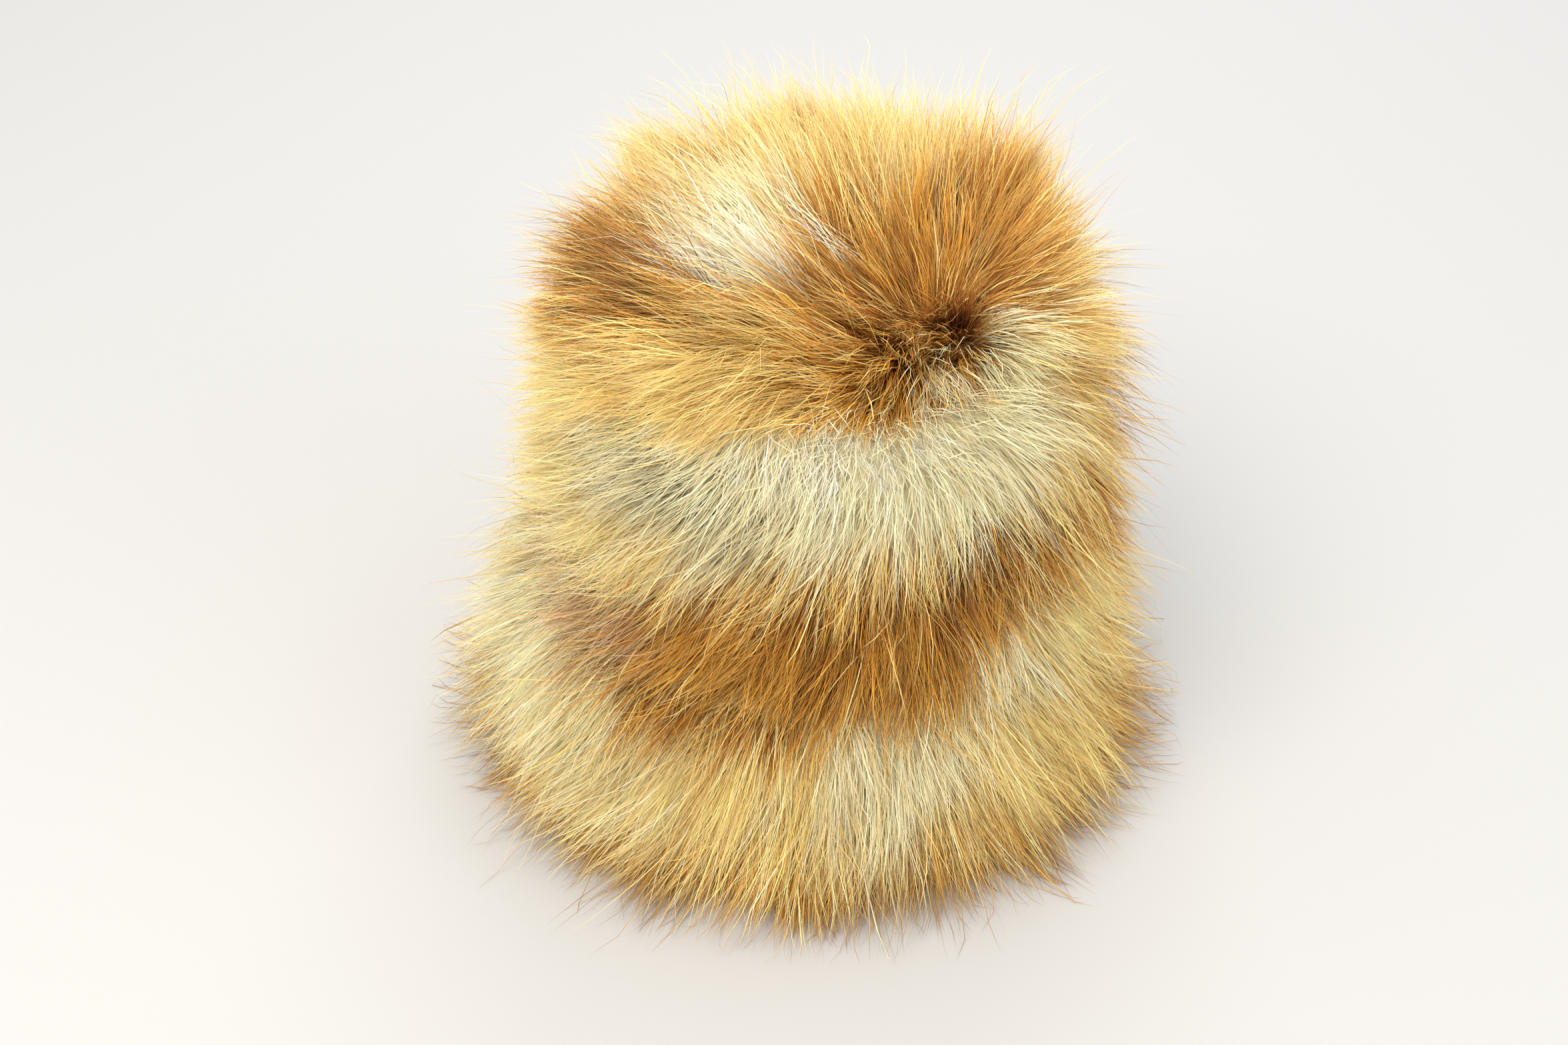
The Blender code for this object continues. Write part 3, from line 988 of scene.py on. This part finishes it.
@dataclass(frozen=True)
class HairLayer:
    """One layer of hairs on a field."""

    suffix: str
    count: int
    segments: int
    width: float
    root_share: float
    length_share: float
    shading: tuple[float, float]
    wisps: tuple[Wisps, ...]
    scatter_turn: float
    softness: float
    seed: int
    twist: float = 60.0
    extra: tuple[tuple[Fox, float], ...] = ()
    width_spread: float = 0.30
    curl: float = 24.0
    crimp: float = 5.0
    lengths: tuple[float, float] = (0.62, 1.18)
    wool_stray: float = 1.4
    wool_rise: float = 14.0
    wool_crimp: float = 20.0
    wool_shortens: float = 0.26
    wool_loosens: float = 0.85
    wool_softens: float = 1.1

    def grow(self, field: FurField, limits: tuple[np.ndarray, np.ndarray]) -> Strands:
        """Grows the layer's hairs on a field.

        Args:
            field: The field that they grow on.
            limits: Lowest and highest corner of the room that they may fill.

        Returns:
            The hairs.
        """
        chance = np.random.default_rng(self.seed)
        u, v = field.scatter(self.count, chance)
        hair = self.growth(field, u, v, chance, 1.0)
        length = hair.length[:, None, None]
        share = np.linspace(0, 1, self.segments + 1)[None, :, None]
        line = hair.root[:, None] + hair.path * length
        levels = []
        for wisps in self.wisps:
            clump, centre = self.clumps(field, hair.root, wisps.spacing, chance)
            levels.append(clump)
            tightness = chance.uniform(0.25, 1.0, len(centre.root))[clump]
            tightness = tightness * chance.uniform(0.6, 1.0, self.count)
            stretch = np.exp(wisps.unevenness * chance.normal(size=len(centre.root)))[clump]
            line = hair.root[:, None] + (line - hair.root[:, None]) * stretch[:, None, None]
            pull = np.minimum(wisps.pull * tightness * (1 - self.wool_loosens * hair.wool), 1)
            pull = pull[:, None, None] * share**1.4
            line = line + (centre.root[clump][:, None] + centre.path[clump] * length - line) * pull
        line = np.clip(line, *limits)
        colour = self.colours(field, line, levels, chance)
        taper = np.interp(share[0, :, 0], (0, 0.35, 0.75, 1), (0.75, 1.0, 0.7, 0.1))
        half_width = self.width / 2 * np.exp(self.width_spread * chance.normal(size=self.count))
        twist = np.radians(self.twist) * chance.uniform(-1, 1, self.count)
        softness = self.softness + self.wool_softens * np.maximum(hair.wool, 0)
        return Strands(line, hair.out, half_width[:, None] * taper, twist, colour, softness)

    def growth(self, field: FurField, u, v, chance, spread: float) -> Growth:
        """Works out hairs at these places; spread scales how far each strays from the combing."""
        count = len(u)
        root, out, down, round_ = field.axes(u, v, field.depth(u, v) * self.root_share)
        lie = field.combing(u, v, root)
        loose = np.maximum(lie.wool, 0)
        stray = spread * np.radians(self.scatter_turn) * (1 + self.wool_stray * lie.wool)
        turn = lie.turn + stray * chance.normal(size=count)
        rise = 0.6 * stray * chance.normal(size=count) + np.radians(self.wool_rise) * loose
        curl = spread * np.radians(self.curl) * chance.normal(size=count)
        points = [np.zeros_like(root)]
        for step in range(self.segments):
            share = (step + 0.5) / self.segments
            crimp = spread * np.radians(self.crimp + self.wool_crimp * loose) * chance.normal(size=count)
            angle = turn + curl * share + crimp
            run = down * np.cos(angle)[:, None] + round_ * np.sin(angle)[:, None]
            up = lie.root_rise + (lie.tip_rise - lie.root_rise) * share**0.8 + rise + 0.6 * crimp
            heading = out * np.sin(up)[:, None] + run * np.cos(up)[:, None]
            points.append(points[-1] + unit(heading) / self.segments)
        length = lie.length * self.length_share * chance.uniform(*self.lengths, count)
        length = length * (1 - self.wool_shortens * lie.wool)
        return Growth(root, out, np.stack(points, axis=1), length, lie.wool)

    def clumps(self, field: FurField, roots: np.ndarray, spacing: float, chance) -> tuple[np.ndarray, Growth]:
        """Shares the hairs out among wisps that stand this far apart.

        Returns:
            The wisp of each hair, and the middle lines of the wisps.
        """
        count = max(8, int(field.area / spacing**2))
        u, v = field.scatter(count, chance)
        centre = self.growth(field, u, v, chance, 0.7)
        tree = kdtree.KDTree(count)
        for index, place in enumerate(centre.root):
            tree.insert(place, index)
        tree.balance()
        nearest = np.array([tree.find(place)[1] for place in roots])
        return nearest, centre

    def colours(self, field: FurField, line: np.ndarray, levels: list[np.ndarray], chance) -> np.ndarray:
        """Colours each hair from the chart, at a place along it that its wisp has by chance."""
        wisp = levels[-1]
        spot = line[np.arange(len(line)), chance.integers(1, self.segments + 1, wisp.max() + 1)[wisp]]
        across, along = field.place_on_chart(spot)
        kind = field.chart.pick(across, along, spot, wisp, chance, self.extra)
        stops = np.stack([fox.value.stops() for fox in Fox])[kind]
        low, high = self.shading
        place = np.linspace(low, high, self.segments + 1) * 3
        below = np.minimum(place.astype(int), 2)
        part = (place - below)[None, :, None]
        colour = stops[:, below] * (1 - part) + stops[:, below + 1] * part
        variety = np.array([fox.value.variety for fox in Fox])[kind]
        swing = 0.6 * chance.normal(size=len(kind))
        for level in levels[-2:]:
            swing = swing + 0.8 * chance.normal(size=level.max() + 1)[level]
        gain = 1 + variety * swing
        warmth = 0.04 * chance.normal(size=len(kind))
        tint = np.stack([1 + warmth, np.ones_like(warmth), 1 - 1.5 * warmth], axis=-1)
        return np.clip(colour * np.clip(gain, 0.6, 1.4)[:, None, None] * tint[:, None], 0.003, 0.95)


@dataclass(frozen=True)
class Backing:
    """The matted underfur that the hairs grow out of, as one closed body."""

    spokes: int = 96
    steps: int = 14
    depth_share: float = 0.72
    root_colour: float = 0.7
    # Share of the hairs' root colour in it; the rest is their shaft colour. The dark root colour here is
    # partly painted shade deep in the fur.
    """Share of the hairs' root colour in it; the rest is their shaft colour."""
    blend: int = 5
    """How many spokes to either side its colours are blended over: matted fur shows no single wisps."""

    def build(self, field: FurField) -> bpy.types.Mesh:
        """Meshes the backing of a field."""
        angle = np.arange(self.spokes) * 2 * math.pi / self.spokes
        rings = []
        for place in field.profile(self.steps):
            u, v = place(angle)
            rings.append(field.point(u, v, field.depth(u, v) * self.depth_share))
        for place in reversed(field.profile(self.steps)):
            u, v = place(angle)
            rings.append(field.point(u, v, np.full_like(u, field.skin.seat_gap)))
        closed = field.node != "tip_fur"
        points = np.concatenate(rings)
        count = len(rings)
        faces = []
        cells = []
        for ring in range(count if closed else count - 1):
            below = (ring + 1) % count
            for spoke in range(self.spokes):
                after = (spoke + 1) % self.spokes
                faces.append(
                    [
                        ring * self.spokes + spoke,
                        below * self.spokes + spoke,
                        below * self.spokes + after,
                        ring * self.spokes + after,
                    ]
                )
                left, right = spoke / self.spokes, (spoke + 1) / self.spokes
                top, bottom = ring / count, (ring + 1) / count
                cells += [(left, top), (left, bottom), (right, bottom), (right, top)]
        mesh = bpy.data.meshes.new(field.node + "_backing")
        mesh.from_pydata(points.tolist(), [], faces)
        mesh.uv_layers.new(name=BAKE_MAP).data.foreach_set("uv", np.array(cells).ravel())
        mesh.polygons.foreach_set("use_smooth", np.ones(len(faces), bool))
        self.paint(mesh, field, points)
        return mesh

    def paint(self, mesh: bpy.types.Mesh, field: FurField, points: np.ndarray) -> None:
        """Colours the backing like the roots and shafts of the hair over it."""
        chance = np.random.default_rng(5)
        across, along = field.place_on_chart(points)
        stops = np.stack([fox.value.stops() for fox in Fox])
        kind = field.chart.pick(across, along, points, np.arange(len(points)), chance)
        colour = stops[kind, 0] * self.root_colour + stops[kind, 1] * (1 - self.root_colour)
        rings = colour.reshape(-1, self.spokes, 3)
        blended = sum(np.roll(rings, shift, axis=1) for shift in range(-self.blend, self.blend + 1))
        colour = blended.reshape(-1, 3) / (2 * self.blend + 1)
        layer = mesh.color_attributes.new(FUR_COLOUR, "FLOAT_COLOR", "POINT")
        layer.data.foreach_set("color", np.concatenate([colour, np.ones((len(colour), 1))], axis=1).ravel())


class Coat:
    """One fur field dressed with its backing, where it has one, and its layers of hair."""

    def __init__(
        self, field: FurField, layers: tuple[HairLayer, ...], finish: FurFinish, backed: bool = True
    ) -> None:
        self.field = field
        self.layers = layers
        self.finish = finish
        self.backed = backed

    def build(self, limits: tuple[np.ndarray, np.ndarray]) -> list[bpy.types.Object]:
        """Builds all pieces of the coat and sets them on the frame."""
        material = self.finish.material(self.field.slot)
        pieces = [self.add(Backing().build(self.field), material)] if self.backed else []
        for layer in self.layers:
            strands = layer.grow(self.field, limits)
            pieces.append(self.add(strands.mesh(f"{self.field.node}_{layer.suffix}"), material))
        return pieces

    def add(self, mesh: bpy.types.Mesh, material: bpy.types.Material) -> bpy.types.Object:
        """Makes a piece of a mesh, standing for the field's CAD node."""
        mesh.materials.append(material)
        piece = bpy.data.objects.new(mesh.name, mesh)
        bpy.context.scene.collection.objects.link(piece)
        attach(piece, "root")
        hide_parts(self.field.node)
        LOG.info("%s: %d faces", piece.name, len(mesh.polygons))
        return piece


class LeatherWalls:
    """The crown wall and the cuff band, which keep their CAD shapes."""

    nodes = {"crown_wall": "crown_leather", "cuff_band": "cuff_leather"}

    def __init__(self, finish: LeatherFinish) -> None:
        self.finish = finish

    def build(self) -> None:
        """Gives each wall its leather."""
        for node, slot in self.nodes.items():
            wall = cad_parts[node]
            for holder in wall.material_slots:
                holder.material = self.finish.material(slot)
            LOG.info("%s: leather", node)


class Lamp(NamedTuple):
    """A soft square light aimed at the hat, with its power in watts."""

    name: str
    place: tuple[float, float, float]
    size: float
    power: float
    colour: str


@dataclass(frozen=True)
class Studio:
    """A pale floor, soft light, and the camera at the photo's angle."""

    lamps: tuple[Lamp, ...] = (
        Lamp("key_light", (-0.45, -0.75, 1.5), 1.1, 20.0, "#fff6ea"),
        Lamp("fill_light", (1.3, -0.9, 1.0), 1.2, 6.0, "#f2f5ff"),
        Lamp("back_light", (0.2, 1.3, 1.3), 1.0, 8.0, "#ffffff"),
    )
    aim: tuple[float, float, float] = (0, 0, 0.12)
    floor_half: float = 4.0
    floor_colour: str = "#cfcfce"
    camera_place: tuple[float, float, float] = (-0.0072, -0.8420, 0.7309)
    camera_down: float = 37.0
    lens: float = 56.57
    sky: float = 0.80

    def build(self) -> None:
        """Builds the floor, lights, sky and camera."""
        self.floor()
        bpy.context.scene.view_settings.view_transform = "Standard"
        for lamp in self.lamps:
            self.area_light(lamp)
        world = bpy.context.scene.world or bpy.data.worlds.new("studio")
        bpy.context.scene.world = world
        world.use_nodes = True
        world.node_tree.nodes["Background"].inputs["Color"].default_value = (1, 1, 1, 1)
        world.node_tree.nodes["Background"].inputs["Strength"].default_value = self.sky
        self.camera()

    def floor(self) -> None:
        """Lays the floor."""
        mesh = bpy.data.meshes.new("floor")
        half = self.floor_half
        corners = [(-half, -half, 0), (half, -half, 0), (half, half, 0), (-half, half, 0)]
        mesh.from_pydata(corners, [], [(0, 1, 2, 3)])
        material, tree = new_material("floor")
        shader = add_node(
            tree, "ShaderNodeBsdfPrincipled", {"Base Color": (*linear(self.floor_colour), 1), "Roughness": 0.7}
        )
        add_node(tree, "ShaderNodeOutputMaterial", links={"Surface": shader.outputs["BSDF"]})
        mesh.materials.append(material)
        floor = bpy.data.objects.new("floor", mesh)
        bpy.context.scene.collection.objects.link(floor)
        floor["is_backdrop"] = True

    def area_light(self, lamp: Lamp) -> None:
        """Adds a soft light aimed at the hat."""
        data = bpy.data.lights.new(lamp.name, "AREA")
        data.size = lamp.size
        data.energy = lamp.power
        data.color = linear(lamp.colour)
        light = bpy.data.objects.new(lamp.name, data)
        light.location = lamp.place
        light.rotation_euler = (Vector(self.aim) - light.location).to_track_quat("-Z", "Y").to_euler()
        bpy.context.scene.collection.objects.link(light)

    def camera(self) -> None:
        """Sets the camera where the photo was taken from."""
        data = bpy.data.cameras.new("camera")
        data.lens = self.lens
        data.sensor_width = 36
        camera = bpy.data.objects.new("camera", data)
        camera.location = self.camera_place
        camera.rotation_euler = (math.radians(90 - self.camera_down), 0, 0)
        bpy.context.scene.collection.objects.link(camera)
        bpy.context.scene.camera = camera


def hair_layers(guard: int, under: int, stray: int, seed: int) -> tuple[HairLayer, ...]:
    """The layers of a coat: short matted underhair, guard hairs drawn into wisps, and long stray hairs."""
    underhair = HairLayer(
        suffix="underhair",
        count=under,
        segments=2,
        width=0.00062,
        root_share=0.42,
        length_share=0.70,
        # The underhair shows the darker root end of the colours: partly its own colour, partly painted shade
        # in the depths between the wisps.
        shading=(0.08, 0.58),
        wisps=(Wisps(0.014, 0.40, 0.08), Wisps(0.0045, 0.50, 0.08)),
        scatter_turn=26,
        softness=1.8,
        seed=seed,
    )
    guard_hair = HairLayer(
        suffix="guard_hair",
        count=guard,
        segments=3,
        width=0.00028,
        root_share=0.50,
        length_share=1.12,
        shading=(0.12, 1.0),
        wisps=(Wisps(0.017, 0.40, 0.16), Wisps(0.0085, 0.60, 0.14), Wisps(0.0038, 0.85, 0.10)),
        scatter_turn=15,
        softness=0.7,
        seed=seed + 1,
    )
    stray_hair = HairLayer(
        suffix="stray_hair",
        count=stray,
        segments=4,
        width=0.00030,
        root_share=0.65,
        length_share=1.30,
        shading=(0.40, 1.0),
        wisps=(Wisps(0.012, 0.60, 0.15),),
        scatter_turn=26,
        softness=0.6,
        seed=seed + 2,
        extra=((Fox.GOLD, 1.6),),
    )
    return underhair, guard_hair, stray_hair


def hem_layer() -> HairLayer:
    """Long hairs in pointed wisps that hang over the hem."""
    return HairLayer(
        suffix="hem_wisps",
        count=9000,
        segments=4,
        width=0.00028,
        root_share=0.60,
        length_share=1.0,
        shading=(0.30, 1.0),
        wisps=(Wisps(0.022, 0.35, 0.18), Wisps(0.0090, 0.92, 0.18)),
        scatter_turn=20,
        softness=0.8,
        seed=400,
    )


def growing_room() -> tuple[np.ndarray, np.ndarray]:
    """The room that the hairs may fill: the CAD box, what may stand proud of it, and the floor below."""
    low, high = (np.array(corner, float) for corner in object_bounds())
    proud = STANDS_PROUD + STANDS_PROUD_SHARE * (high - low)
    low, high = low - proud, high + proud
    low[2] = 0.001
    return low, high


def main() -> None:
    """Builds the dressed hat and its studio."""
    logging.basicConfig(level=logging.INFO, format="%(message)s")
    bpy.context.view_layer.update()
    limits = growing_room()
    skin = Skin()
    LeatherWalls(LeatherFinish()).build()
    finish = FurFinish()
    Coat(TipField(skin), hair_layers(36000, 22000, 3000, 100), finish).build(limits)
    Coat(SideField(skin), hair_layers(38000, 34000, 3600, 200), finish).build(limits)
    Coat(CuffField(skin), hair_layers(38000, 34000, 3200, 300), finish).build(limits)
    Coat(HemField(skin), (hem_layer(),), finish, backed=False).build(limits)
    Studio().build()


if __name__ == "__main__":
    main()
